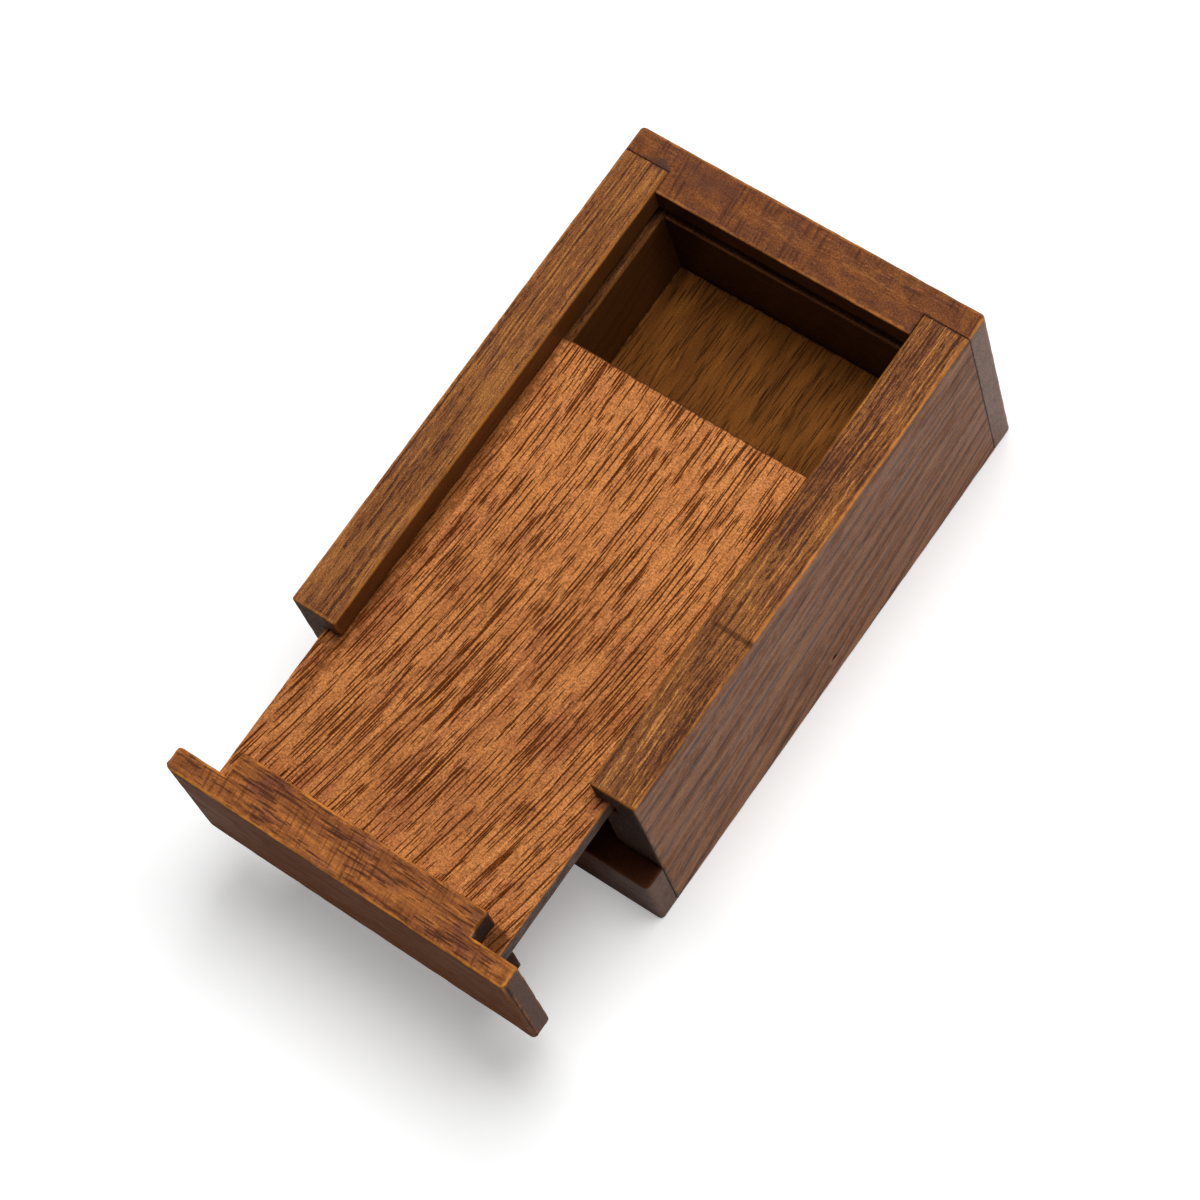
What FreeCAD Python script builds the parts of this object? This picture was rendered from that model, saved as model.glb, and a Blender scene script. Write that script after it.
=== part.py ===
import FreeCAD, Part
import Sketcher
import os

# Hand-held wooden trick box with a sliding lid, in millimetres.
# Origin at the centre of the box's underside. X runs across it, +Y to its far end, +Z up.
# The lid is drawn out towards -Y by lid_open, its place at rest.
SIZES = [
    # The box
    ("box_width", 60.0),
    ("box_length", 90.6),
    ("box_height", 38.0),
    ("wall_thickness", 7.75),
    # End boards: the lip covers the walls' ends, the rest of the depth fits between the walls
    ("near_lip", 3.85),
    ("near_depth", 8.0),
    ("far_lip", 4.3),
    ("far_depth", 8.0),
    # Double bottom, from the underside up
    ("base_thickness", 3.5),
    ("chamber_height", 7.3),
    ("floor_thickness", 3.2),
    ("rail_step", 0.3),
    # Lid panel and the groove it runs in
    ("lid_cover", 4.8),
    ("lid_thickness", 3.0),
    ("lid_play", 0.2),
    ("lid_side_grip", 3.05),
    ("lid_side_gap", 0.3),
    ("lid_far_grip", 2.0),
    ("lid_far_gap", 0.6),
    ("lid_open", 26.0),
    # End block on the lid panel
    ("block_depth", 7.7),
    ("block_side_gap", 0.6),
    ("block_stop_gap", 0.3),
    ("block_rail_gap", 0.3),
    # Rattle chamber between base and floor
    ("strip_width", 5.0),
    ("batten_depth", 6.0),
    ("slug_width", 14.0),
    ("slug_length", 20.0),
    ("slug_thickness", 5.5),
    ("slug_end_gap", 0.4),
    ("slug_lift", 0.3),
    ("slug_corner", 1.0),
    # Headless pins through the middle of the side walls
    ("pin_diameter", 0.65),
    ("pin_play", 0.03),
    ("pin_height", 5.5),
    ("pin_inset", 0.4),
    ("pin_grip", 3.5),
    ("pin_point", 0.8),
    ("pin_tip", 0.15),
    # Softened edges
    ("wall_round", 0.4),
    ("board_round", 0.8),
    ("block_round", 1.0),
    ("lid_round", 0.3),
]

# Lengths worked out from the driving ones
INNER_WIDTH = "(Sizes.box_width - 2 * Sizes.wall_thickness)"
INNER_LENGTH = "(Sizes.box_length - Sizes.near_depth - Sizes.far_depth)"
WALL_LENGTH = "(Sizes.box_length - Sizes.near_lip - Sizes.far_lip)"
FLOOR_UNDERSIDE = "(Sizes.base_thickness + Sizes.chamber_height)"
RAIL_HEIGHT = f"({FLOOR_UNDERSIDE} + Sizes.floor_thickness - Sizes.rail_step)"
GROOVE_HEIGHT = "(Sizes.lid_thickness + 2 * Sizes.lid_play)"
GROOVE_BOTTOM = f"(Sizes.box_height - Sizes.lid_cover - {GROOVE_HEIGHT})"
WALL_GROOVE_DEPTH = "(Sizes.lid_side_grip + Sizes.lid_side_gap)"
FAR_GROOVE_DEPTH = "(Sizes.lid_far_grip + Sizes.lid_far_gap)"
LID_UNDERSIDE = f"({GROOVE_BOTTOM} + Sizes.lid_play)"
BLOCK_LIP = "(Sizes.near_lip - Sizes.block_stop_gap)"
BLOCK_TONGUE = f"(Sizes.block_depth - {BLOCK_LIP})"
BLOCK_BOTTOM = f"({RAIL_HEIGHT} + Sizes.block_rail_gap)"
BLOCK_HEIGHT = f"(Sizes.box_height - {BLOCK_BOTTOM})"
LID_WIDTH = f"({INNER_WIDTH} + 2 * Sizes.lid_side_grip)"
LID_LENGTH = f"(Sizes.box_length - Sizes.far_depth + Sizes.lid_far_grip - {BLOCK_LIP})"
BATTEN_LENGTH = f"({INNER_WIDTH} - 2 * Sizes.strip_width)"
PIN_HOLE = "(Sizes.pin_diameter + 2 * Sizes.pin_play)"

# Planes that the pieces line up with
LEFT_FACE = "(-Sizes.box_width / 2)"
LEFT_INNER_FACE = f"(-{INNER_WIDTH} / 2)"
RIGHT_INNER_FACE = f"({INNER_WIDTH} / 2)"
NEAR_FACE = "(-Sizes.box_length / 2)"
WALL_NEAR_FACE = f"({NEAR_FACE} + Sizes.near_lip)"
NEAR_INNER_FACE = f"({NEAR_FACE} + Sizes.near_depth)"
FAR_INNER_FACE = "(Sizes.box_length / 2 - Sizes.far_depth)"
BLOCK_FACE = f"({NEAR_FACE} - Sizes.lid_open)"

TOLERANCE = 1e-4

doc = FreeCAD.newDocument("sliding_lid_box")
sheet = doc.addObject("Spreadsheet::Sheet", "Sizes")
for row, (alias, value) in enumerate(SIZES, start=1):
    sheet.set(f"A{row}", alias)
    sheet.set(f"B{row}", str(value))
    sheet.setAlias(f"B{row}", alias)
doc.recompute()


def new_body(name, corner_x, corner_y, corner_z):
    """An empty body whose own origin, its piece's low corner, lies at the given place."""
    body = doc.addObject("PartDesign::Body", name)
    body.Label = name
    body.setExpression("Placement.Base.x", corner_x)
    body.setExpression("Placement.Base.y", corner_y)
    body.setExpression("Placement.Base.z", corner_z)
    return body


def new_sketch(body, name, plane, shift):
    """An empty sketch on one of the body's origin planes, its own origin moved by shift."""
    sketch = body.newObject("Sketcher::SketchObject", name)
    support = [item for item in body.Origin.OriginFeatures if item.Role == plane][0]
    sketch.AttachmentSupport = [(support, "")]
    sketch.MapMode = "FlatFace"
    for axis, length in zip("xyz", shift):
        sketch.setExpression(f"AttachmentOffset.Base.{axis}", length)
    return sketch


def rectangle(body, name, width, depth, shift=("0", "0", "0")):
    """A horizontal rectangle with its low corner at shift from the body's origin."""
    sketch = new_sketch(body, name, "XY_Plane", shift)
    corners = [FreeCAD.Vector(x, y, 0) for x, y in ((0, 0), (1, 0), (1, 1), (0, 1))]
    for start, end in zip(corners, corners[1:] + corners[:1]):
        sketch.addGeometry(Part.LineSegment(start, end), False)
    for line in range(4):
        sketch.addConstraint(Sketcher.Constraint("Coincident", line, 2, (line + 1) % 4, 1))
    for direction, lines in (("Horizontal", (0, 2)), ("Vertical", (1, 3))):
        for line in lines:
            sketch.addConstraint(Sketcher.Constraint(direction, line))
    sketch.addConstraint(Sketcher.Constraint("Coincident", 0, 1, -1, 1))
    spans = (("width", "DistanceX", 0, width), ("depth", "DistanceY", 1, depth))
    for label, kind, line, length in spans:
        index = sketch.addConstraint(Sketcher.Constraint(kind, line, 1, line, 2, 1.0))
        sketch.renameConstraint(index, label)
        sketch.setExpression(f"Constraints.{label}", length)
    return sketch


def circle(body, name, diameter, shift):
    """A circle on the body's YZ plane, centred at shift: along y, along z, then out along x."""
    sketch = new_sketch(body, name, "YZ_Plane", shift)
    sketch.addGeometry(Part.Circle(FreeCAD.Vector(0, 0, 0), FreeCAD.Vector(0, 0, 1), 1.0), False)
    sketch.addConstraint(Sketcher.Constraint("Coincident", 0, 3, -1, 1))
    index = sketch.addConstraint(Sketcher.Constraint("Diameter", 0, 2.0))
    sketch.renameConstraint(index, "diameter")
    sketch.setExpression("Constraints.diameter", diameter)
    return sketch


def pad(body, name, sketch, height):
    """Raise a horizontal sketch by height."""
    feature = body.newObject("PartDesign::Pad", name)
    feature.Profile = sketch
    feature.setExpression("Length", height)
    doc.recompute()
    return feature


def pocket(body, name, sketch, depth, along_normal):
    """Cut a sketch into the body, along its plane's normal or against it."""
    volume_before = body.Shape.Volume
    feature = body.newObject("PartDesign::Pocket", name)
    feature.Profile = sketch
    feature.Reversed = along_normal
    feature.setExpression("Length", depth)
    doc.recompute()
    if body.Shape.Volume > volume_before - TOLERANCE:
        raise RuntimeError(f"{name} cuts nothing")
    return feature


def board(name, width, depth, height, corner):
    """A plain squared board, from its low corner."""
    body = new_body(name, *corner)
    footprint = rectangle(body, f"{name}_footprint", width, depth)
    pad(body, f"{name}_board", footprint, height)
    return body


def lies_on(edge, planes):
    """True if the edge lies wholly in every one of the planes, each an axis and a position."""
    box = edge.BoundBox
    spans = {"x": (box.XMin, box.XMax), "y": (box.YMin, box.YMax), "z": (box.ZMin, box.ZMax)}
    return all(abs(end - place) < TOLERANCE for axis, place in planes for end in spans[axis])


def round_edges(body, name, radius, chosen):
    """Fillet the body's straight edges that lie in any of the chosen sets of planes."""
    base = body.Tip
    edges = [
        f"Edge{number}"
        for number, edge in enumerate(base.Shape.Edges, start=1)
        if any(lies_on(edge, planes) for planes in chosen)
    ]
    fillet = body.newObject("PartDesign::Fillet", name)
    fillet.Base = (base, edges)
    fillet.setExpression("Radius", radius)
    doc.recompute()


def size(alias):
    """The present value of one driving size."""
    return sheet.get(alias)


def side_wall(side):
    """Full-height side wall with the lid's groove along its inner face and a pin hole."""
    name = f"{side}_side_wall"
    on_left = side == "left"
    outer_face = LEFT_FACE if on_left else RIGHT_INNER_FACE
    body = board(name, "Sizes.wall_thickness", WALL_LENGTH, "Sizes.box_height",
                 (outer_face, WALL_NEAR_FACE, "0"))

    groove_start = f"(Sizes.wall_thickness - {WALL_GROOVE_DEPTH})" if on_left else "0"
    groove = rectangle(body, f"{name}_groove_strip", WALL_GROOVE_DEPTH, WALL_LENGTH,
                       (groove_start, "0", GROOVE_BOTTOM))
    pocket(body, f"{name}_groove", groove, GROOVE_HEIGHT, True)

    hole_side = "0" if on_left else "Sizes.wall_thickness"
    hole = circle(body, f"{name}_pin_circle", PIN_HOLE,
                  (f"(-{WALL_NEAR_FACE})", "Sizes.pin_height", hole_side))
    pocket(body, f"{name}_pin_hole", hole, "Sizes.wall_thickness", on_left)

    outside = 0.0 if on_left else size("wall_thickness")
    top = size("box_height")
    soft = [
        (("x", outside), ("z", top)),
        (("x", outside), ("z", 0.0)),
        (("x", outside), ("y", 0.0)),
        (("y", 0.0), ("z", top)),
        (("x", size("wall_thickness") - outside), ("z", top)),
    ]
    round_edges(body, f"{name}_rounding", "Sizes.wall_round", soft)
    return body


def rabbet_ends(body, width, start, depth, height, shoulder):
    """Cut back both ends of a board between start and start + depth, by shoulder each."""
    for end, place in (("left", "0"), ("right", f"({width} - {shoulder})")):
        sketch = rectangle(body, f"{body.Label}_{end}_rabbet_strip", shoulder, depth,
                           (place, start, "0"))
        pocket(body, f"{body.Label}_{end}_rabbet", sketch, height, True)


def outer_frame(width, face, height):
    """The edges round a board's outer face, and the short edges of its two ends."""
    around_face = [(("y", face), ("z", 0.0)), (("y", face), ("z", height))]
    for end in (0.0, width):
        around_face.append((("x", end), ("y", face)))
        around_face.append((("x", end), ("z", 0.0)))
        around_face.append((("x", end), ("z", height)))
    return around_face


def far_end_board():
    """Full-height end board: a lip over the walls' ends, rabbets, and the lid's far groove."""
    body = board("far_end_board", "Sizes.box_width", "Sizes.far_depth", "Sizes.box_height",
                 (LEFT_FACE, FAR_INNER_FACE, "0"))
    rabbet_ends(body, "Sizes.box_width", "0", "(Sizes.far_depth - Sizes.far_lip)",
                "Sizes.box_height", "Sizes.wall_thickness")
    groove = rectangle(body, "far_end_board_groove_strip", INNER_WIDTH, FAR_GROOVE_DEPTH,
                       ("Sizes.wall_thickness", "0", GROOVE_BOTTOM))
    pocket(body, "far_end_board_groove", groove, GROOVE_HEIGHT, True)
    frame = outer_frame(size("box_width"), size("far_depth"), size("box_height"))
    round_edges(body, "far_end_board_rounding", "Sizes.board_round", frame)
    return body


def near_end_rail():
    """Low end rail, cut like the far board; what lies inside leaves over its top."""
    body = board("near_end_rail", "Sizes.box_width", "Sizes.near_depth", RAIL_HEIGHT,
                 (LEFT_FACE, NEAR_FACE, "0"))
    rabbet_ends(body, "Sizes.box_width", "Sizes.near_lip", "(Sizes.near_depth - Sizes.near_lip)",
                RAIL_HEIGHT, "Sizes.wall_thickness")
    outer_bottom = [(("y", 0.0), ("z", 0.0))]
    for end in (0.0, size("box_width")):
        outer_bottom.append((("x", end), ("y", 0.0)))
        outer_bottom.append((("x", end), ("z", 0.0)))
    round_edges(body, "near_end_rail_rounding", "Sizes.board_round", outer_bottom)
    return body


def lid_end_block():
    """End block of the lid: a full-width lip, and a tongue slotted for the lid panel."""
    body = board("lid_end_block", "Sizes.box_width", "Sizes.block_depth", BLOCK_HEIGHT,
                 (LEFT_FACE, BLOCK_FACE, BLOCK_BOTTOM))
    rabbet_ends(body, "Sizes.box_width", BLOCK_LIP, BLOCK_TONGUE, BLOCK_HEIGHT,
                "(Sizes.wall_thickness + Sizes.block_side_gap)")
    slot = rectangle(body, "lid_end_block_slot_strip", "Sizes.box_width", BLOCK_TONGUE,
                     ("0", BLOCK_LIP, f"({LID_UNDERSIDE} - {BLOCK_BOTTOM})"))
    pocket(body, "lid_end_block_slot", slot, "Sizes.lid_thickness", True)
    height = body.Shape.BoundBox.ZMax - body.Shape.BoundBox.ZMin
    frame = outer_frame(size("box_width"), 0.0, height)
    round_edges(body, "lid_end_block_rounding", "Sizes.block_round", frame)
    return body


def lid_panel():
    """Thin sliding panel, from the end block's lip to its far edge."""
    body = board("lid_panel", LID_WIDTH, LID_LENGTH, "Sizes.lid_thickness",
                 (f"(-{LID_WIDTH} / 2)", f"({BLOCK_FACE} + {BLOCK_LIP})", LID_UNDERSIDE))
    bounds = body.Shape.BoundBox
    far_edges = [(("y", bounds.YMax - bounds.YMin), ("z", level))
                 for level in (0.0, size("lid_thickness"))]
    round_edges(body, "lid_panel_rounding", "Sizes.lid_round", far_edges)
    return body


def floor_strip(side):
    """Strip that carries the floor along one wall; the pin through that wall ends in it."""
    name = f"{side}_floor_strip"
    on_left = side == "left"
    start = LEFT_INNER_FACE if on_left else f"({RIGHT_INNER_FACE} - Sizes.strip_width)"
    body = board(name, "Sizes.strip_width", INNER_LENGTH, "Sizes.chamber_height",
                 (start, NEAR_INNER_FACE, "Sizes.base_thickness"))
    hole_side = "0" if on_left else "Sizes.strip_width"
    hole = circle(body, f"{name}_pin_circle", PIN_HOLE,
                  (f"(-{NEAR_INNER_FACE})", "(Sizes.pin_height - Sizes.base_thickness)", hole_side))
    pocket(body, f"{name}_pin_hole", hole, "Sizes.pin_grip", on_left)
    return body


def cross_batten(end):
    """Batten across the box that bounds the rattle chamber at one end."""
    clear_half = "(Sizes.slug_length / 2 + Sizes.slug_end_gap)"
    near_place = f"(-{clear_half} - Sizes.batten_depth)"
    place = near_place if end == "near" else clear_half
    return board(f"{end}_cross_batten", BATTEN_LENGTH, "Sizes.batten_depth",
                 "Sizes.chamber_height", (f"(-{BATTEN_LENGTH} / 2)", place, "Sizes.base_thickness"))


def rattle_slug():
    """Loose slab of metal, short across the box and close to the battens lengthwise."""
    body = board("rattle_slug", "Sizes.slug_width", "Sizes.slug_length", "Sizes.slug_thickness",
                 ("(-Sizes.slug_width / 2)", "(-Sizes.slug_length / 2)",
                  "(Sizes.base_thickness + Sizes.slug_lift)"))
    corners = [(("x", x), ("y", y)) for x in (0.0, size("slug_width"))
               for y in (0.0, size("slug_length"))]
    round_edges(body, "rattle_slug_rounding", "Sizes.slug_corner", corners)
    return body


def pin(side):
    """One headless pin: a shaft from just under the wall's face, and a point in the strip."""
    direction = 1 if side == "left" else -1
    start = f"({direction} * ({LEFT_FACE} + Sizes.pin_inset))"
    shaft_length = ("(Sizes.wall_thickness - Sizes.pin_inset + Sizes.pin_grip"
                    " - Sizes.pin_point)")
    turned = FreeCAD.Rotation(FreeCAD.Vector(0, 1, 0), 90 * direction)
    shaft = doc.addObject("Part::Cylinder", f"{side}_pin_shaft")
    point = doc.addObject("Part::Cone", f"{side}_pin_point")
    shaft.setExpression("Radius", "Sizes.pin_diameter / 2")
    shaft.setExpression("Height", shaft_length)
    point.setExpression("Radius1", "Sizes.pin_diameter / 2")
    point.setExpression("Radius2", "Sizes.pin_tip / 2")
    point.setExpression("Height", "Sizes.pin_point")
    places = ((shaft, start), (point, f"({start} + {direction} * {shaft_length})"))
    for item, place in places:
        item.Placement.Rotation = turned
        item.setExpression("Placement.Base.x", place)
        item.setExpression("Placement.Base.z", "Sizes.pin_height")
    whole = doc.addObject("Part::Fuse", f"{side}_pin")
    whole.Base = shaft
    whole.Tool = point
    return whole


def side_pins():
    """Both pins, one through each side wall."""
    pins = doc.addObject("Part::Compound", "side_pins")
    pins.Label = "side_pins"
    pins.Links = [pin(side) for side in ("left", "right")]
    return pins


def inner_board(name, thickness, level):
    """Panel that fills the space between walls and end boards, at one level."""
    return board(name, INNER_WIDTH, INNER_LENGTH, thickness,
                 (LEFT_INNER_FACE, NEAR_INNER_FACE, level))


pieces = [
    side_wall("left"),
    side_wall("right"),
    far_end_board(),
    near_end_rail(),
    inner_board("base_panel", "Sizes.base_thickness", "0"),
    inner_board("inner_floor", "Sizes.floor_thickness", FLOOR_UNDERSIDE),
    floor_strip("left"),
    floor_strip("right"),
    cross_batten("near"),
    cross_batten("far"),
    rattle_slug(),
    side_pins(),
    lid_panel(),
    lid_end_block(),
]
doc.recompute()

for item in doc.Objects:
    if "Invalid" in item.State or "Error" in item.State:
        raise RuntimeError(f"{item.Name} failed: {item.State}")
for piece in pieces:
    if piece.Shape.isNull() or not piece.Shape.isValid():
        raise RuntimeError(f"{piece.Label} has no valid shape")

os.makedirs("parts", exist_ok=True)
for piece in pieces:
    piece.Shape.exportStep(f"parts/{piece.Label}.step")
    print(piece.Label, len(piece.Shape.Solids), "solids,", round(piece.Shape.Volume), "mm3")
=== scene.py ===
from math import ceil, cos, pi, radians, sin

import bmesh
import bpy
import numpy as np
from mathutils import Matrix, Vector, noise


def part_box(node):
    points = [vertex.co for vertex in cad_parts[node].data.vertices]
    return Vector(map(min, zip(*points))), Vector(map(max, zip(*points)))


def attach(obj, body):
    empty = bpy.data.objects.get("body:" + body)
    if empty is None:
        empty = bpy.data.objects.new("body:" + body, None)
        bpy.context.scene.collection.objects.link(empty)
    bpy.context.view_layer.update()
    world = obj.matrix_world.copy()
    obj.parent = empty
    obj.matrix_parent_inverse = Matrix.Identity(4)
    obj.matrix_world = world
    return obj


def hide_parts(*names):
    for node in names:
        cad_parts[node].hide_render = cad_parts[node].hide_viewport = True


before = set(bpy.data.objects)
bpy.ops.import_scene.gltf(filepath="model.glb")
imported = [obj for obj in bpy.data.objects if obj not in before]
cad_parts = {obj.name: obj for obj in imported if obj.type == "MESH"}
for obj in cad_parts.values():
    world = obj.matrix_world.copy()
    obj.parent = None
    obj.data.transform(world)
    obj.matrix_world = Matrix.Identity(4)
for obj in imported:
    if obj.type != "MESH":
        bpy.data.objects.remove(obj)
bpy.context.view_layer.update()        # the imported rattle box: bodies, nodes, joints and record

# Lengths in this script are millimetres unless a name says metres; Blender's own are metres.
MM = 0.001


def corners(node):
    """Lowest and highest corner of a CAD node at rest, in millimetres."""
    low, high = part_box(node)
    return tuple(value / MM for value in low), tuple(value / MM for value in high)


# Places read from the frame
LEFT, RIGHT = corners("left_side_wall"), corners("right_side_wall")
FAR, RAIL = corners("far_end_board"), corners("near_end_rail")
PANEL, BLOCK = corners("lid_panel"), corners("lid_end_block")
SLUG = corners("rattle_slug")

WALL_INSIDE, WALL_OUTSIDE, WALL_TOP = RIGHT[0][0], RIGHT[1][0], RIGHT[1][2]
WALL_END_FAR, WALL_END_NEAR = RIGHT[1][1], RIGHT[0][1]
RAIL_FRONT, RAIL_TOP = RAIL[0][1], RAIL[1][2]
LID_FAR_EDGE, LID_TOP = PANEL[1][1], PANEL[1][2]

# Sizes that the frame doesn't tell, as in the part
GROOVE_HEIGHT_PLAY = 0.2
GROOVE_SIDE_PLAY = 0.3
FAR_GROOVE_DEPTH = 2.6
PIN_HEIGHT = 5.5
PIN_HOLE = 0.355

# The grooves' height, the same in the walls and in the far board
GROOVE_LOW = PANEL[0][2] - GROOVE_HEIGHT_PLAY
GROOVE_HIGH = PANEL[1][2] + GROOVE_HEIGHT_PLAY

# The lid as the photograph shows it, a little to the left of the part's middle
LID_SHIFT = -0.3
PANEL_HALF = 25.0
TONGUE_HALF = 21.7
LIP_LEFT, LIP_RIGHT = -30.4, 29.4
LIP_THICKNESS = 3.55
LIP_PROUD = 0.15
BLOCK_SKEW = -0.008

# Mesh of the boards
MESH_STEP = 1.1
MESH_ROUNDING = 4          # decimals that tell two mesh lines apart
ROUND_MARGIN = 0.25        # kept between a rounded edge and the next mesh line
MARGINS_TO_FIT = 2.5       # a span shorter than this many margins has none
HOLE_CELL = 0.5            # half the width of the mesh square that a bore replaces
HOLE_CLEAR = 1.5           # edges this near a bore stay sharp
PAST = 1.0                 # how far a cut reaches past the face that it opens
SLACK = 0.2                # how far a box reaches round the edges that it picks
TOUCH = 0.01               # places nearer than this count as one
FLAT_ANGLE = 0.1           # radians; below this an edge lies within a face
ROUND_ANGLE = 1.2          # radians; outer edges from this on are rounded
BEVEL_SEGMENTS = 4
FAR_AWAY = 4.0             # distances to an edge are measured up to this

# Finish of the boards
GLUE_GAP = 0.04            # between glued boards, so that no two faces lie in one place
JOINT_ROUND = 0.12
DENT_SIZES = (2.6, 1.4)    # broad dents in the edges, and finer ones on them
DENT_DETAIL = 0.2          # the finer dents' share
DENT_BIAS = 0.15           # keeps most of an edge a little worn
DENT_REACH = 0.8           # how far from the edge a dent fades out
SWELL_SIZE = 9.0           # the faces' slight unevenness
SWELL_DEPTH = 0.012
SEED_STEP = (7.3, 3.1, 5.7)        # how far each seed moves the noise

# The axis that the grain of each wood follows: 0 is X, 1 is Y
GRAIN_AXIS = {
    "lid panel wood": 1, "wall wood": 1, "floor wood": 1, "raw inner wood": 1,
    "end board wood": 0, "end block wood": 0,
}


# Meshes of boards

def cut_lines(planes, margin, step):
    """Mesh lines along one axis: each face plane, a line close to it, and even ones between."""
    planes = sorted(set(round(plane, MESH_ROUNDING) for plane in planes))
    lines = [planes[0]]
    for start, end in zip(planes, planes[1:]):
        inset = margin if end - start > MARGINS_TO_FIT * margin else 0.0
        count = max(1, ceil((end - start - 2 * inset) / step))
        width = (end - start - 2 * inset) / count
        lines += [start + inset + width * number for number in range(count + 1)]
        lines.append(end)
    return sorted(set(round(line, MESH_ROUNDING) for line in lines))


def full_cells(lines, solids, cuts):
    """Which cells between the mesh lines are solid, with a rim of empty cells added all round."""
    middles = [np.array([(a + b) / 2 for a, b in zip(line, line[1:])]) for line in lines]
    grid = np.meshgrid(*middles, indexing="ij")

    def inside(box):
        """Which cells have their middle in a box."""
        return np.logical_and.reduce([(g > box[0][i]) & (g < box[1][i]) for i, g in enumerate(grid)])

    full = np.logical_or.reduce([inside(box) for box in solids])
    for box in cuts:
        full &= ~inside(box)
    return np.pad(full, 1)


def skin(lines, full):
    """A closed quad mesh round the full cells, as a bmesh in millimetres."""
    bm = bmesh.new()
    made = {}

    def vertex(index):
        """The vertex where three mesh lines cross, made once."""
        if index not in made:
            made[index] = bm.verts.new([lines[i][index[i]] for i in range(3)])
        return made[index]

    for axis in range(3):
        second, third = (axis + 1) % 3, (axis + 2) % 3
        turned = np.swapaxes(full, 0, axis)
        for cell in np.argwhere(turned[:-1] != turned[1:]):
            outward = turned[tuple(cell)]
            # The rim makes a cell's number the number of the last of its two mesh lines
            corner = [int(cell[0]), int(cell[1]) - 1, int(cell[2]) - 1]
            corner[0], corner[axis] = corner[axis], corner[0]
            ring = []
            for step_second, step_third in ((0, 0), (1, 0), (1, 1), (0, 1)):
                index = list(corner)
                index[second] += step_second
                index[third] += step_third
                ring.append(vertex(tuple(index)))
            bm.faces.new(ring if outward else ring[::-1])
    return bm


def cell_solid(solids, cuts, margin, step, extra):
    """A closed quad mesh of the boxes in solids less those in cuts.

    extra holds more planes for mesh lines to follow, one list for each axis.
    """
    lines = []
    for axis in range(3):
        limits = [corner[axis] for box in solids for corner in box]
        low, high = min(limits), max(limits)
        planes = limits + [corner[axis] for box in cuts for corner in box] + list(extra[axis])
        lines.append(cut_lines([p for p in planes if low <= p <= high], margin, step))
    return skin(lines, full_cells(lines, solids, cuts))


def holds(box, point):
    """Whether a point lies in a box."""
    return all(box[0][i] - TOUCH <= point[i] <= box[1][i] + TOUCH for i in range(3))


def around(low, high):
    """A box a little larger than the one between two corners."""
    return tuple(value - SLACK for value in low), tuple(value + SLACK for value in high)


def sharp_lines(bm, joints):
    """The solid's sharp edges as straight lines: (axis, start, end, fixed place, kind)."""
    runs = {}
    for edge in bm.edges:
        angle = edge.calc_face_angle_signed(0.0)
        if abs(angle) < FLAT_ANGLE:
            continue
        a, b = edge.verts[0].co, edge.verts[1].co
        axis = max(range(3), key=lambda i: abs(a[i] - b[i]))
        middle = (a + b) / 2
        if angle < 0:
            kind = "inner"
        elif any(holds(box, middle) for box in joints):
            kind = "joint"
        else:
            kind = "open"
        fixed = tuple(round(middle[i], 3) for i in range(3) if i != axis)
        runs.setdefault((axis, fixed, kind), []).append(sorted((a[axis], b[axis])))
    lines = []
    for (axis, fixed, kind), spans in runs.items():
        spans.sort()
        start, end = spans[0]
        for low, high in spans[1:]:
            if low > end + TOUCH:
                lines.append((axis, start, end, fixed, kind))
                start = low
            end = high
        lines.append((axis, start, end, fixed, kind))
    return lines


def distance_to(points, lines, kinds):
    """Each point's distance to the nearest sharp line of those kinds, up to FAR_AWAY."""
    nearest = np.full(len(points), FAR_AWAY)
    for axis, start, end, fixed, kind in lines:
        if kind not in kinds:
            continue
        others = [i for i in range(3) if i != axis]
        along = points[:, axis] - np.clip(points[:, axis], start, end)
        squared = along ** 2
        for i, value in zip(others, fixed):
            squared = squared + (points[:, i] - value) ** 2
        nearest = np.minimum(nearest, np.sqrt(squared))
    return nearest


def uneven(points, size, seed):
    """Smooth noise from -1 to 1 at each point, with waves of about that size."""
    shift = Vector([seed * step for step in SEED_STEP])
    return np.array([noise.noise(Vector(p) / size + shift) for p in points])


def add_floats(mesh, name, values):
    """Stores one number per vertex under a name that the materials read."""
    layer = mesh.attributes.new(name, "FLOAT", "POINT")
    layer.data.foreach_set("value", np.asarray(values, dtype=np.float32))


def drill(bm, centre, radius, depth, sides=16):
    """A round bore through a board along X, from the face at centre to depth beyond it."""
    rings = []
    for x in (centre[0], centre[0] - depth):
        bm.faces.ensure_lookup_table()
        middle = Vector((x, *centre[1:]))
        face = min(bm.faces, key=lambda f: (f.calc_center_median() - middle).length)
        square = sorted(face.verts, key=lambda v: np.arctan2(v.co.z - centre[2], v.co.y - centre[1]))
        flip = face.normal.x < 0
        bm.faces.remove(face)
        ring = []
        for number in range(sides):
            angle = -pi + 2 * pi * number / sides
            ring.append(bm.verts.new((x, centre[1] + radius * cos(angle), centre[2] + radius * sin(angle))))
        quarter = sides // 4
        for side, corner in enumerate(square):
            arc = [ring[(side * quarter + number) % sides] for number in range(quarter + 1)]
            for first, second in zip(arc, arc[1:]):
                triangle = (corner, second, first)
                bm.faces.new(triangle[::-1] if flip else triangle)
            tail = (corner, square[(side + 1) % 4], arc[-1])
            bm.faces.new(tail[::-1] if flip else tail)
        rings.append(ring)
    outer, inner = rings
    for number in range(sides):
        following = (number + 1) % sides
        bm.faces.new((outer[number], outer[following], inner[following], inner[number]))
    bmesh.ops.recalc_face_normals(bm, faces=bm.faces)


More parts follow.
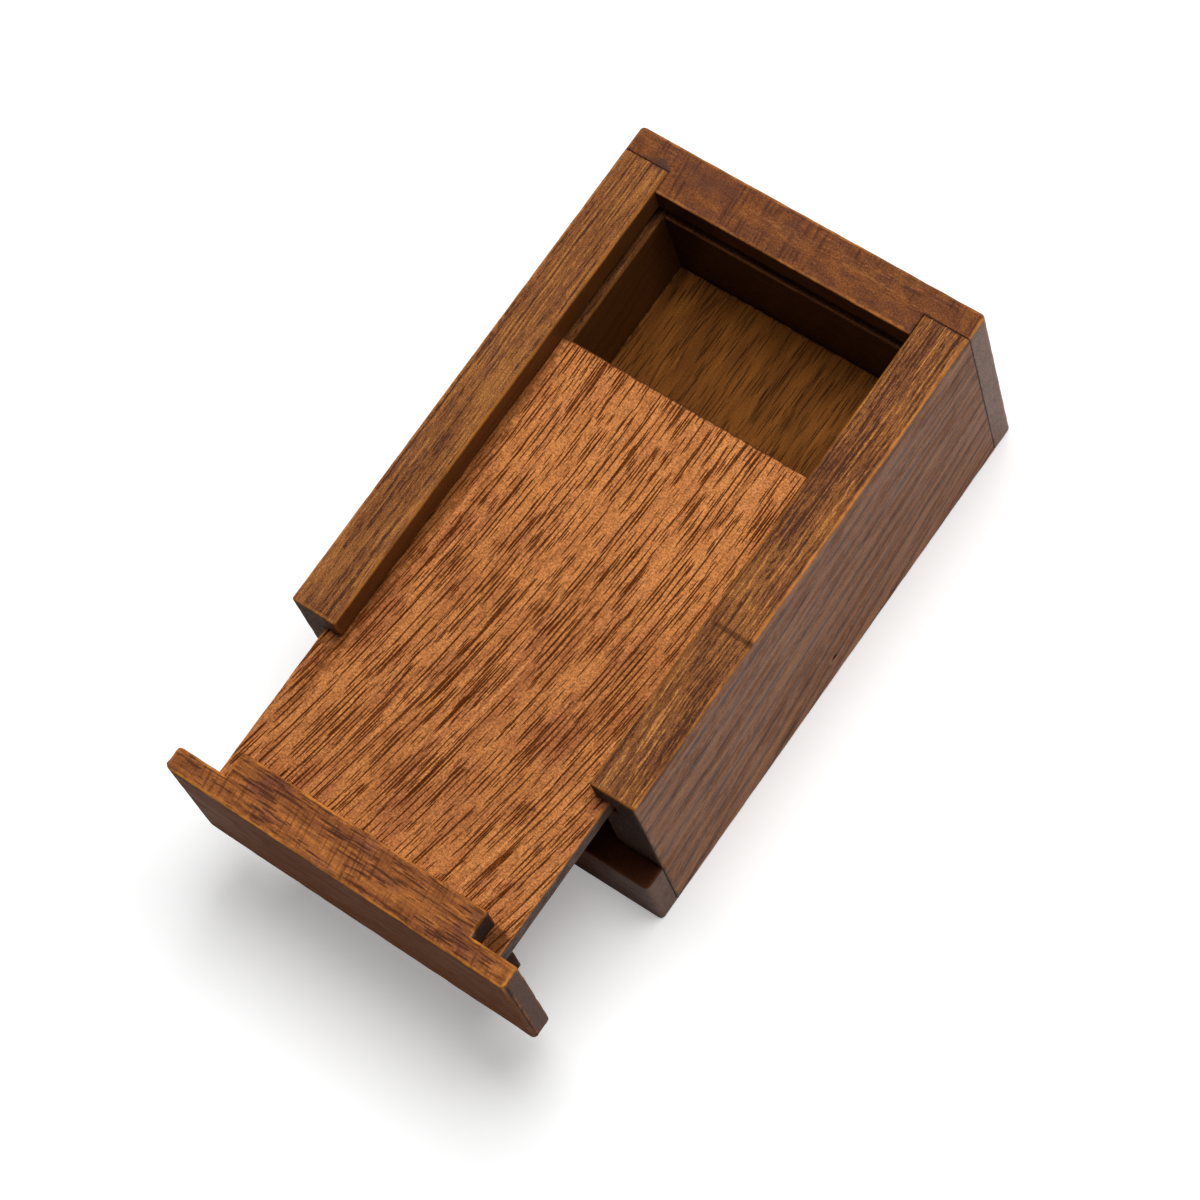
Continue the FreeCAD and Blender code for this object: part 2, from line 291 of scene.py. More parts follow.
def weigh_edges(bm, radius, widest, joints, soft, hole):
    """Writes on each outer edge how far it is rounded, as a share of the widest rounding."""
    weight = bm.edges.layers.float.new("bevel_weight_edge")
    for edge in bm.edges:
        if edge.calc_face_angle_signed(0.0) < ROUND_ANGLE:
            continue
        middle = (edge.verts[0].co + edge.verts[1].co) / 2
        if hole and (middle - Vector(hole[0])).length < HOLE_CLEAR:
            continue
        size = JOINT_ROUND if any(holds(box, middle) for box in joints) else radius
        for box, softer in soft:
            if holds(box, middle):
                size = softer
        edge[weight] = size / widest


def rounded(name, bm, widest):
    """An object of that mesh with its weighed edges rounded off."""
    mesh = bpy.data.meshes.new(name)
    bm.to_mesh(mesh)
    bm.free()
    piece = bpy.data.objects.new(name, mesh)
    bpy.context.scene.collection.objects.link(piece)
    bevel = piece.modifiers.new("edges", "BEVEL")
    bevel.limit_method = "WEIGHT"
    bevel.width = widest
    bevel.segments = BEVEL_SEGMENTS
    bevel.use_clamp_overlap = False
    evaluated = piece.evaluated_get(bpy.context.evaluated_depsgraph_get())
    shaped = bpy.data.meshes.new_from_object(evaluated)
    piece.modifiers.clear()
    piece.data = shaped
    bpy.data.meshes.remove(mesh)
    shaped.name = name
    return piece


def places_and_normals(mesh):
    """Where the mesh's vertices lie and how they face, one row each."""
    points = np.empty(len(mesh.vertices) * 3)
    normals = np.empty(len(mesh.vertices) * 3)
    mesh.vertices.foreach_get("co", points)
    mesh.vertices.foreach_get("normal", normals)
    return points.reshape(-1, 3), normals.reshape(-1, 3)


def wear_depth(points, to_open, worn, seed):
    """How far in each point is worn: dents along the open edges, and a slight swell all over."""
    dents = uneven(points, DENT_SIZES[0], seed) + DENT_DETAIL * uneven(points, DENT_SIZES[1], seed + 1)
    dents = np.clip(dents, -DENT_BIAS, 1.0) + DENT_BIAS
    swell = SWELL_DEPTH * (1 + uneven(points, SWELL_SIZE, seed + 2))
    return worn * dents * np.exp(-(to_open / DENT_REACH) ** 2) + swell


def tell_faces(mesh, normals, material, face_shade):
    """Tells the material which way each vertex faces, and how much painted shade it takes, or painted light
    where that is negative.
    """
    if material.name in GRAIN_AXIS:
        along = GRAIN_AXIS[material.name]
        add_floats(mesh, "end_grain", np.abs(normals[:, along]))
        add_floats(mesh, "flank", np.abs(normals[:, 1 - along]))
    stain = np.zeros(len(normals))
    for axis, sign, amount in face_shade:
        # Full on a face square to the axis, and none where it leans 63 degrees from that
        stain += amount * np.clip(normals[:, axis] * sign * 2 - 0.9, 0, 1)
    add_floats(mesh, "painted_shade", stain)


def board(node, body, material, solids, cuts=(), joints=(), soft=(), radius=0.35, seed=1,
          worn=0.07, step=MESH_STEP, hole=None, face_shade=(), skew=0.0):
    """A piece in place of a CAD node: boxes with rounded, slightly worn edges.

    joints are boxes that hold the edges glued against a neighbour, which stay crisp. soft lists
    (box, radius) for edges rounded more than the rest, hole is (centre, radius, depth) of a bore
    along X, and deep lists (axis, sign, depth) of painted shade on the faces that look that way,
    or painted light where depth is negative. skew moves the piece along Y by that share of its X.
    """
    widest = max([radius] + [size for _, size in soft])
    extra = [(), (), ()]
    if hole:
        extra[1:] = [(hole[0][axis] - HOLE_CELL, hole[0][axis] + HOLE_CELL) for axis in (1, 2)]
    bm = cell_solid(solids, cuts, widest + ROUND_MARGIN, step, extra)
    bmesh.ops.recalc_face_normals(bm, faces=bm.faces)
    lines = sharp_lines(bm, joints)
    if hole:
        drill(bm, *hole)
    weigh_edges(bm, radius, widest, joints, soft, hole)
    piece = rounded(node, bm, widest)
    mesh = piece.data

    points, normals = places_and_normals(mesh)
    to_open = distance_to(points, lines, ("open",))
    add_floats(mesh, "edge_near", to_open)
    add_floats(mesh, "joint_near", distance_to(points, lines, ("joint", "inner")))
    tell_faces(mesh, normals, material, face_shade)
    points = points - normals * wear_depth(points, to_open, worn, seed)[:, None]
    points[:, 1] += skew * points[:, 0]
    mesh.vertices.foreach_set("co", (points * MM).ravel())

    mesh.shade_smooth()
    piece.modifiers.new("even shading", "WEIGHTED_NORMAL").weight = 100
    mesh.materials.append(material)
    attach(piece, body)
    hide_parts(node)


# Materials

def srgb(red, green, blue):
    """A colour written as on screen, 0 to 255, as the linear colour that a shader takes."""
    parts = [value / 255 for value in (red, green, blue)]
    return tuple(p / 12.92 if p <= 0.04045 else ((p + 0.055) / 1.055) ** 2.4 for p in parts) + (1.0,)


class Tree:
    """The nodes of one material, with short ways to add and wire them."""

    def __init__(self, name):
        self.material = bpy.data.materials.new(name)
        self.material.use_nodes = True
        self.nodes = self.material.node_tree.nodes
        self.links = self.material.node_tree.links
        self.nodes.clear()

    def add(self, kind, inputs, **settings):
        """A node with its settings, and its inputs fed with numbers, colours or other outputs."""
        node = self.nodes.new("ShaderNode" + kind)
        for key, value in settings.items():
            setattr(node, key, value)
        for key, value in inputs.items():
            if isinstance(value, bpy.types.NodeSocket):
                self.links.new(value, node.inputs[key])
            else:
                node.inputs[key].default_value = value
        return node

    def math(self, operation, *values):
        """The result of a sum on numbers or other outputs."""
        return self.add("Math", dict(enumerate(values)), operation=operation).outputs[0]

    def times(self, first, second):
        """One value times another."""
        return self.math("MULTIPLY", first, second)

    def unless(self, value):
        """One less the value."""
        return self.math("SUBTRACT", 1.0, value)

    def ease(self, value, low, high, start=0.0, end=1.0):
        """A smooth step from start at low to end at high."""
        inputs = {"Value": value, "From Min": low, "From Max": high, "To Min": start, "To Max": end}
        return self.add("MapRange", inputs, interpolation_type="SMOOTHSTEP").outputs[0]

    def spread(self, cloudy, start, end):
        """Cloudy noise spread from start to end."""
        return self.ease(cloudy, 0.3, 0.7, start, end)

    def parts(self, vector):
        """A vector's three numbers."""
        return self.add("SeparateXYZ", {0: vector}).outputs

    def vector(self, x, y, z):
        """Three numbers as a vector."""
        return self.add("CombineXYZ", {0: x, 1: y, 2: z}).outputs[0]

    def millimetres(self):
        """Object coordinates in millimetres."""
        metres_place = self.add("TexCoord", {}).outputs["Object"]
        factor = (1 / MM,) * 3
        return self.add("VectorMath", {0: metres_place, 1: factor}, operation="MULTIPLY").outputs[0]

    def place(self, at, size, shift=(0.0, 0.0, 0.0)):
        """The place at, in units of size along each axis, and shifted."""
        factor = tuple(1.0 / value for value in size)
        return self.add("VectorMath", {0: at, 1: factor, 2: shift}, operation="MULTIPLY_ADD").outputs[0]

    def noise(self, at, size, shift=(0.0, 0.0, 0.0), detail=2.0, roughness=0.5):
        """Cloudy noise about 0.5, with waves of that size along each axis."""
        inputs = {
            "Vector": self.place(at, size, shift), "Scale": 1.0, "Detail": detail, "Roughness": roughness,
        }
        return self.add("TexNoise", inputs).outputs[0]

    def spindles(self, at, size, shift=(0.0, 0.0, 0.0)):
        """Distance from the nearest of many scattered points, one in each box of that size."""
        inputs = {"Vector": self.place(at, size, shift), "Scale": 1.0, "Randomness": 0.85}
        return self.add("TexVoronoi", inputs).outputs["Distance"]

    def mix(self, factor, first, second, blend="MIX"):
        """The second colour over the first, as far as the factor says."""
        inputs = {0: factor, 6: first, 7: second}
        return self.add("Mix", inputs, data_type="RGBA", blend_type=blend).outputs[2]

    def attribute(self, name):
        """A number that add_floats stored."""
        return self.add("Attribute", {}, attribute_name=name).outputs["Fac"]

    def finish(self, shader):
        """The material with that shader."""
        self.add("OutputMaterial", {0: shader})
        return self.material


def grain_space(tree, place, look):
    """The place in millimetres as (along the grain, across it, through the board), bent as it runs."""
    x, y, z = tree.parts(place)
    along, across = (y, x) if look["grain"] == "Y" else (x, y)
    lean, curve = look["lean"]
    drift = tree.math("MULTIPLY_ADD", along, curve, lean)
    across = tree.math("SUBTRACT", across, tree.times(drift, along))
    through = z
    if "fan" in look:
        rate, pivot = look["fan"]
        spread = tree.math("EXPONENT", tree.times(along, rate))
        through = tree.times(tree.math("SUBTRACT", pivot, z), spread)
    straight = tree.vector(along, across, through)
    wave_size, wave_height = look["wave"]
    wave = tree.noise(straight, wave_size, detail=1.0)
    shift = tree.times(tree.math("SUBTRACT", wave, 0.5), 2 * wave_height)
    bent = tree.vector(0.0, shift, shift)
    return tree.add("VectorMath", {0: straight, 1: bent}, operation="ADD").outputs[0]


# Heights on the box between which its edges' wear and painted highlight, and the dark line below it, fade
# in
WORN_FROM, WORN_TO = 30.0, 37.0
LINE_FROM, LINE_TO = 34.0, 36.5

# How squarely a face has to look along an axis to count as end grain or as a flank
SQUARE_FROM, SQUARE_TO = 0.5, 0.9

# Where the look of the box's left half turns into that of its right half
MIDDLE = (-10.0, 10.0)


class Wood:
    """Stained wood, laid on layer by layer; colour holds what is there so far."""

    def __init__(self, name, look):
        self.tree = Tree(name)
        self.look = look
        self.seed = look["seed"]
        self.place = self.tree.millimetres()
        self.grain = grain_space(self.tree, self.place, look)
        self.patchy = self.tree.noise(self.place, (1.1, 1.1, 1.1), (0, self.seed, 0))
        self.flank = self.tree.ease(self.tree.attribute("flank"), SQUARE_FROM, SQUARE_TO)
        self.ends = self.tree.ease(self.tree.attribute("end_grain"), SQUARE_FROM, SQUARE_TO)

    def lay(self, amount, colour):
        """Another colour over the present one."""
        self.colour = self.tree.mix(amount, self.colour, colour)

    def layer_shift(self, number):
        """A shift that gives each layer of noise a pattern of its own."""
        return self.seed + number * 3.7, number * 1.3, number * 2.9

    def blots(self, spots):
        """Ragged ovals of other colours, each by its centre, reach along each axis, amount and colour."""
        tree = self.tree
        for centre, reach, amount, stain in spots:
            away = tree.add("VectorMath", {0: self.place, 1: centre}, operation="SUBTRACT").outputs[0]
            far = tree.add("VectorMath", {0: tree.place(away, reach)}, operation="LENGTH").outputs["Value"]
            ragged = tree.math("ADD", far, tree.spread(self.patchy, -0.2, 0.2))
            self.lay(tree.ease(ragged, 0.5, 1.1, amount, 0.0), stain)

    def ground(self):
        """Ground tone in clouds, a second tint in patches, and broad paler blooms."""
        tree, look = self.tree, self.look
        self.cloud = tree.noise(self.grain, look["cloud_size"], (self.seed, 0, 0), detail=3.0)
        self.colour = tree.mix(tree.ease(self.cloud, 0.36, 0.64), look["light"], look["mid"])
        self.tint = tree.noise(self.grain, look["tint_size"], (0, self.seed, 0))
        self.lay(tree.ease(self.tint, 0.48, 0.70, 0.0, look["tint_amount"]), look["tint"])
        self.blots(look["blooms"])

    def lines(self):
        """Dark and bright lines along the grain, from several noises drawn out along it."""
        tree, look = self.tree, self.look
        crowd = tree.noise(self.grain, look["crowd_size"], (0, self.seed, self.seed))
        tone = tree.spread(crowd, -look["crowd"], look["crowd"])
        for number, (size, weight) in enumerate(look["lines"]):
            layer = tree.noise(self.grain, size, self.layer_shift(number))
            tone = tree.math("MULTIPLY_ADD", tree.math("SUBTRACT", layer, 0.5), weight, tone)
        if "right_side" in look:
            right_tone, right_gain = look["right_side"]
            right = tree.ease(tree.parts(self.place)[0], *MIDDLE)
            tone = tree.math("MULTIPLY_ADD", right, right_tone, tone)
        start, end, amount = look["darker"]
        self.dark = tree.ease(tone, -start, -end)
        self.lay(tree.times(self.dark, amount), look["dark"])
        start, end, amount = look["brighter"]
        bright = tree.ease(tone, start, end, 0.0, amount)
        if "right_side" in look:
            bright = tree.times(bright, tree.math("MULTIPLY_ADD", right, right_gain - 1.0, 1.0))
        self.lay(bright, look["bright"])
        self.tone = tone

    def saw_marks(self):
        """Fine slanted marks across the grain, in patches, everywhere but on the flanks."""
        tree = self.tree
        spacing, slant, amount = self.look["saw_marks"]
        along, across, _ = tree.parts(self.grain)
        crossed = tree.vector(tree.math("MULTIPLY_ADD", across, slant, along), across, 0.0)
        mark = tree.noise(crossed, (spacing, 9.0, 9.0), (self.seed, self.seed, 0))
        patch = tree.noise(self.grain, (6.0, 5.0, 5.0), (self.seed, 0, self.seed))
        mark = tree.times(tree.ease(mark, 0.46, 0.66, 0.0, amount), tree.ease(patch, 0.38, 0.56))
        self.lay(tree.times(mark, tree.unless(self.flank)), self.look["dark"])

    def growth_rings(self):
        """Growth rings where the flank cuts them, as chains of soft dark dashes."""
        tree, look = self.tree, self.look
        spacing, amount = look["rings"]
        through = tree.parts(self.grain)[2]
        sway = tree.times(tree.noise(self.grain, (45.0, 7.0, 7.0), (self.seed, 0, self.seed)), 6.0)
        ring = tree.math("SINE", tree.math("MULTIPLY_ADD", through, 2 * pi / spacing, sway))
        dash = tree.noise(self.grain, (5.0, 2.0, 0.7), (0, 0, self.seed), detail=3.0)
        ring = tree.times(tree.ease(ring, 0.35, 1.0), tree.ease(dash, 0.36, 0.60, 0.2, 1.0))
        self.lay(tree.times(self.flank, 0.7), look["mid"])
        self.lay(tree.times(tree.times(ring, self.flank), amount), look["ring"])

    def pores(self):
        """Pores as spindles along the grain; sunk takes them and the dark lines together."""
        tree, look = self.tree, self.look
        self.sunk = self.dark
        for number, (size, low, high) in enumerate(look["pores"]):
            spot = tree.spindles(self.grain, size, self.layer_shift(number))
            reach = tree.ease(self.tint, 0.35, 0.65, low, high)
            pore = tree.ease(tree.math("SUBTRACT", reach, spot), -0.03, 0.05)
            if "rings" in look:
                pore = tree.times(pore, tree.unless(self.flank))
            self.lay(tree.times(pore, look["pore_amount"]), look["pore"])
            self.sunk = tree.math("MAXIMUM", self.sunk, pore)

    def fibre_ends(self):
        """Ends of the fibres, darker and dotted."""
        tree, look = self.tree, self.look
        dots = tree.noise(self.place, (0.5, 0.5, 0.5), (self.seed, self.seed, 0))
        dotted = tree.mix(tree.ease(dots, 0.35, 0.65), look["end_dark"], look["end_light"])
        self.lay(tree.times(self.ends, look["end_amount"]), dotted)

    def depth_and_speckle(self):
        """Painted shade on the faces that the board lists, darker and with their grain evened, or painted
        light where it is negative; and the speckle of the fine grain.
        """
        tree, look = self.tree, self.look
        self.face_shade = tree.attribute("painted_shade")
        self.lay(tree.ease(self.face_shade, 0.0, 0.25, 0.0, look["evened"]), look["mid"])
        size = (look["speckle_size"],) * 3
        speckle = tree.noise(self.place, size, (self.seed, 0, 0), roughness=0.7)
        gain = tree.ease(speckle, 0.32, 0.68, 1.0 - look["speckle"], 1.0 + look["speckle"])
        # The painted shade darkens the colour here; where it is negative it paints light
        gain = tree.times(gain, tree.unless(self.face_shade))
        self.colour = tree.mix(1.0, self.colour, tree.vector(gain, gain, gain), "MULTIPLY")

    def wear(self):
        """Bright edges, part wear and part painted highlight, mostly round the top, and grime in the
        joints.
        """
        tree, look = self.tree, self.look
        level = tree.parts(self.place)[2]
        edge = tree.math("ADD", tree.attribute("edge_near"), tree.spread(self.patchy, -0.06, 0.16))
        broad = tree.noise(self.place, (7.0, 7.0, 7.0), (self.seed, 0, 0), detail=1.0)
        # Edges lit up: part wear, part painted highlight, stronger round the top
        worn = tree.ease(edge, 0.12, 0.62, look["wear"], 0.0)
        worn = tree.times(worn, tree.ease(broad, 0.35, 0.6, 0.35, 1.0))
        worn = tree.times(worn, tree.ease(level, WORN_FROM, WORN_TO, 0.25, 1.0))
        self.lay(worn, look["edge"])
        if "edge_line" in look:
            under = tree.times(tree.ease(edge, 0.45, 0.65), tree.ease(edge, 0.7, 1.1, 1.0, 0.0))
            under = tree.times(under, tree.ease(self.face_shade, 0.1, 0.2, 0.0, look["edge_line"]))
            under = tree.times(under, tree.ease(level, LINE_FROM, LINE_TO))
            self.lay(under, look["pore"])
        joint = tree.math("ADD", tree.attribute("joint_near"), tree.spread(self.patchy, -0.10, 0.25))
        self.lay(tree.ease(joint, 0.05, 0.45, look["grime"], 0.0), look["pore"])

    def varnished(self):
        """The finished material: satin, with lines and pores in slight relief."""
        tree, look = self.tree, self.look
        height = tree.math("SUBTRACT", tree.times(self.tone, look["relief"]), self.sunk)
        bump = {"Strength": look["bump"], "Distance": 0.05 * MM, "Height": height}
        rough = tree.spread(self.cloud, look["rough"] - 0.04, look["rough"] + 0.04)
        rough = tree.math("MULTIPLY_ADD", self.sunk, 0.2, rough)
        rough = tree.math("MULTIPLY_ADD", self.ends, look["end_rough"], rough)
        shader = tree.add("BsdfPrincipled", {
            "Base Color": self.colour,
            "Roughness": rough,
            "Specular IOR Level": look["gloss"],
            "Normal": tree.add("Bump", bump).outputs[0],
        })
        return tree.finish(shader.outputs[0])


def wood(name, look):
    """A wood material with all its layers."""
    layers = Wood(name, look)
    layers.ground()
    layers.lines()
    if "saw_marks" in look:
        layers.saw_marks()
    if "rings" in look:
        layers.growth_rings()
    layers.pores()
    layers.fibre_ends()
    layers.depth_and_speckle()
    layers.wear()
    layers.blots(look["marks"])
    return layers.varnished()


# The look that all stained pieces start from. Sizes are (along the grain, across, through).
# Tuples that need words, here and in the looks below:
#   lean is (lean, curve) of the grain across the board, and wave is (size, height) of its waves
#   fan is (rate, pivot height) of grain lines that spread towards the near end
#   lines lists (size, weight) of each noise in the lines' tone
#   darker and brighter are (start, end, amount), by how far the tone lies below or above zero
#   pores lists (size, reach where the tint is weak, reach where it is strong), in cells
#   saw_marks is (spacing, slant, amount) and rings is (spacing, amount)
#   right_side is (shift of the tone, gain of the bright lines) on the box's right half
#   blooms and marks list (centre, reach along each axis, amount, colour)
STAINED = {
    "light": srgb(152, 96, 56),
    "mid": srgb(132, 82, 48),
    "dark": srgb(84, 50, 34),
    "bright": srgb(190, 124, 70),
    "tint": srgb(128, 76, 48),
    "pore": srgb(60, 33, 22),
    # Colour of the bright edges: part wear, part painted highlight on their rounding
    "edge": srgb(204, 128, 62),
    "end_dark": srgb(60, 40, 30),
    "end_light": srgb(96, 68, 50),
    "lean": (0.0, 0.0),
    "wave": ((14.0, 5.0, 5.0), 0.35),
    "cloud_size": (14.0, 4.0, 4.0),
    "tint_size": (10.0, 5.0, 5.0),
    "tint_amount": 0.5,
    "crowd_size": (12.0, 3.0, 3.0),
    "crowd": 0.05,
    "lines": [((60.0, 0.75, 0.75), 0.7), ((3.0, 0.55, 0.55), 0.6)],
    "darker": (0.02, 0.20, 0.8),
    "brighter": (0.03, 0.22, 0.5),
    "pores": [],
    "pore_amount": 0.6,
    "end_amount": 0.8,
    "end_rough": 0.3,
    "evened": 0.7,
    "speckle_size": 0.28,
    "speckle": 0.12,
    "wear": 0.8,
    "grime": 0.8,
    "blooms": (),
    "marks": (),
    "relief": 0.25,
    "bump": 0.4,
    "rough": 0.42,
    "gloss": 0.35,
}


def stained(**changes):
    """The common stained look with some of its values changed."""
    return {**STAINED, **changes}


def lid_wood():
    """Orange-brown open-grained panel whose grain swings off the panel's line towards the near end."""
    return wood("lid panel wood", stained(
        seed=1.7, grain="Y", lean=(0.022, -0.00145), wave=((30.0, 6.0, 6.0), 0.25),
        light=srgb(192, 122, 68), mid=srgb(169, 103, 58), dark=srgb(108, 55, 20),
        bright=srgb(211, 139, 82), pore=srgb(82, 36, 7), tint=srgb(145, 82, 56),
        cloud_size=(7.0, 1.8, 1.8),
        tint_size=(13.0, 4.5, 4.5), tint_amount=0.5,
        crowd_size=(14.0, 3.0, 3.0), crowd=0.01,
        lines=[((22.0, 0.40, 0.40), 0.6), ((3.0, 0.26, 0.26), 0.4)],
        darker=(0.02, 0.22, 0.5), brighter=(0.01, 0.18, 0.8),
        pores=[
            ((24.0, 0.50, 0.50), 0.30, 0.32),
            ((13.0, 0.48, 0.48), 0.29, 0.33),
            ((5.0, 0.38, 0.38), 0.25, 0.30),
        ],
        pore_amount=0.92,
        speckle=0.42, speckle_size=0.24, rough=0.5,
        blooms=[((2.0, 6.0, LID_TOP), (34.0, 30.0, 4.0), 0.3, srgb(222, 143, 80))],
        marks=[
            # Two spots near the right edge
            ((19.9, -52.0, LID_TOP), (0.9, 0.9, 0.6), 0.35, srgb(120, 70, 48)),
            ((16.2, -47.6, LID_TOP), (0.5, 0.45, 0.6), 0.7, srgb(84, 44, 24)),
            # Glue beside the end block
            ((23.0, -66.0, LID_TOP), (2.3, 2.6, 2.0), 0.8, srgb(58, 27, 13)),
            # Painted shadow of the left wall along the left groove, and the dark far edge
            ((-22.6, -14.0, LID_TOP), (2.8, 40.0, 3.0), 0.65, srgb(84, 44, 14)),
            ((0.0, LID_FAR_EDGE + 0.05, LID_TOP), (90.0, 0.45, 1.2), 0.85, srgb(62, 32, 16)),
        ],
    ))


def wall_wood():
    """Walls: yellow-brown with thin bright fibres and dark streaks that fan out to the near end."""
    # Painted shade with a warm painted bounce light on the walls' inner faces inside the chamber
    inner_face_shade = [
        ((x, 0.0, 26.0), (0.6, 90.0, 26.0), 0.5, srgb(92, 52, 10)) for x in (-22.2, 22.2)
    ]
    pale_rings = [
        ((x, -0.3, PIN_HEIGHT - 0.2), (0.9, 1.25, 1.15), 0.6, srgb(160, 118, 72))
        for x in (WALL_OUTSIDE, -WALL_OUTSIDE)
    ]
    # Painted shade in the mouths of the pin bores
    pin_mouth_shade = [
        ((x, 0.0, PIN_HEIGHT), (0.9, 0.86, 0.75), 0.95, srgb(30, 18, 10))
        for x in (WALL_OUTSIDE, -WALL_OUTSIDE)
    ]
    return wood("wall wood", stained(
        seed=4.2, grain="Y", fan=(0.0066, 42.6),
        light=srgb(146, 93, 52), mid=srgb(128, 79, 45), dark=srgb(82, 49, 34),
        bright=srgb(188, 126, 67), pore=srgb(72, 44, 36), tint=srgb(112, 70, 52),
        edge=srgb(210, 134, 60), ring=srgb(66, 45, 39),
        tint_amount=0.4, speckle=0.4, speckle_size=0.2, gloss=0.15,
        lines=[((40.0, 0.36, 1.4), 0.7), ((8.0, 0.30, 1.0), 0.55), ((1.2, 0.30, 0.5), 0.5)],
        darker=(0.0, 0.18, 1.0), brighter=(0.03, 0.20, 0.6), right_side=(-0.035, 1.9),
        pores=[((7.0, 0.48, 1.4), 0.10, 0.32)],
        rings=(4.2, 0.9),
        marks=[
            # A dark line across the right wall's top, and its end on the outer edge
            ((26.8, -13.0, WALL_TOP), (4.6, 0.5, 1.0), 0.6, srgb(64, 38, 26)),
            ((29.4, -13.1, WALL_TOP), (1.0, 0.9, 1.2), 0.6, srgb(56, 32, 24)),
            # Painted shade on the right wall's near end, which lies in the lid block's shadow, over its
            # darker end grain
            ((26.1, -41.6, 20.0), (16.0, 0.7, 60.0), 0.55, srgb(44, 25, 16)),
            # Grey stain at the far left corner
            ((-24.0, 41.2, WALL_TOP), (1.6, 1.2, 1.0), 0.6, srgb(72, 52, 50)),
            *inner_face_shade,
            *pale_rings,
            *pin_mouth_shade,
        ],
    ))


def end_wood():
    """Far end board and rail: reddish brown, grain along X."""
    return wood("end board wood", stained(
        seed=7.9, grain="X", wave=((22.0, 9.0, 9.0), 1.2),
        light=srgb(130, 78, 44), mid=srgb(110, 66, 42), dark=srgb(74, 43, 33),
        bright=srgb(188, 124, 72), pore=srgb(76, 44, 34), tint=srgb(96, 58, 48),
        # End grain lightened and greyed as a painted sheen of the white floor
        end_dark=srgb(114, 84, 66), end_light=srgb(132, 100, 80), ring=srgb(70, 42, 33),
        cloud_size=(3.0, 2.0, 2.0),
        tint_size=(5.0, 3.0, 3.0), tint_amount=0.5,
        speckle=0.35, speckle_size=0.25, end_rough=-0.05, gloss=0.15,
        lines=[((30.0, 0.6, 0.6), 0.45), ((1.2, 0.4, 0.4), 0.5)],
        darker=(0.02, 0.24, 0.4), brighter=(0.02, 0.22, 0.35),
        pores=[((1.3, 0.42, 0.42), 0.05, 0.22)],
        saw_marks=(0.5, 0.1, 0.7), rings=(5.0, 0.8),
        marks=[
            # Grey stain at the left corner, and a softer one beside it
            ((-24.0, 41.2, WALL_TOP), (1.8, 1.4, 1.0), 0.7, srgb(72, 52, 50)),
            ((-16.5, 42.6, WALL_TOP), (6.0, 2.2, 1.0), 0.35, srgb(88, 56, 50)),
            # Short dark dashes on the right half
            ((18.5, 43.2, WALL_TOP), (2.6, 0.35, 0.6), 0.55, srgb(70, 42, 36)),
            ((24.5, 43.9, WALL_TOP), (2.2, 0.30, 0.6), 0.55, srgb(70, 42, 36)),
            ((14.2, 38.6, WALL_TOP), (1.3, 0.5, 0.6), 0.5, srgb(74, 46, 40)),
            # Painted shade on the rail's front and on its top, under the lid
            ((0.0, RAIL_FRONT, 6.0), (90.0, 0.6, 30.0), 0.3, srgb(70, 32, 14)),
            ((0.0, -41.3, RAIL_TOP + 0.2), (90.0, 14.0, 1.2), 0.6, srgb(48, 22, 10)),
        ],
    ))


def block_wood():
    """Lid end block: orange-brown with short dark dashes along X."""
    return wood("end block wood", stained(
        seed=9.4, grain="X",
        light=srgb(160, 98, 54), mid=srgb(138, 82, 46), dark=srgb(86, 48, 32),
        bright=srgb(190, 118, 60), pore=srgb(76, 44, 32), tint=srgb(118, 70, 56),
        # End faces lightened and greyed as a painted sheen of the white floor
        end_dark=srgb(104, 84, 77), end_light=srgb(112, 92, 85), edge=srgb(212, 134, 56),
        tint_size=(6.0, 2.5, 2.5), tint_amount=0.7,
        lines=[((12.0, 0.50, 0.50), 0.6), ((2.6, 0.34, 0.34), 0.6)],
        darker=(0.01, 0.18, 0.9), brighter=(0.01, 0.18, 0.7),
        pores=[((5.0, 0.46, 0.46), 0.15, 0.42)], pore_amount=0.8,
        saw_marks=(0.5, 0.15, 0.6),
        speckle=0.2, speckle_size=0.22, end_amount=0.95, evened=0.85,
        wear=1.0, edge_line=0.9, gloss=0.02, rough=0.5,
        # Shade on the tongue's right end
        marks=[((21.4, -65.7, 26.0), (0.5, 2.8, 50.0), 0.75, srgb(44, 23, 13))],
    ))


def floor_wood():
    """Inner floor and base: browner, and darkened as painted shade in the chamber; grain along Y."""
    return wood("floor wood", stained(
        seed=12.3, grain="Y",
        light=srgb(116, 69, 28), mid=srgb(97, 56, 22), dark=srgb(58, 31, 12),
        bright=srgb(134, 83, 36), pore=srgb(42, 22, 8), tint=srgb(94, 54, 24),
        cloud_size=(16.0, 3.0, 3.0), speckle=0.25, speckle_size=0.2, gloss=0.2,
        lines=[((24.0, 0.42, 0.42), 0.6), ((4.0, 0.30, 0.30), 0.5)],
        darker=(0.02, 0.20, 0.6),
        pores=[((12.0, 0.38, 0.38), 0.28, 0.31), ((6.0, 0.34, 0.34), 0.25, 0.30)],
        pore_amount=0.75,
    ))


def raw_wood():
    """Strips and battens in the chamber: pale bare wood."""
    return wood("raw inner wood", stained(
        seed=15.1, grain="Y",
        light=srgb(206, 176, 132), mid=srgb(190, 156, 112), dark=srgb(150, 116, 76),
        bright=srgb(220, 192, 150), pore=srgb(128, 94, 60), tint=srgb(196, 160, 118),
        end_dark=srgb(150, 116, 80), end_light=srgb(180, 146, 104),
        wear=0.2, grime=0.3, rough=0.75, gloss=0.3,
    ))


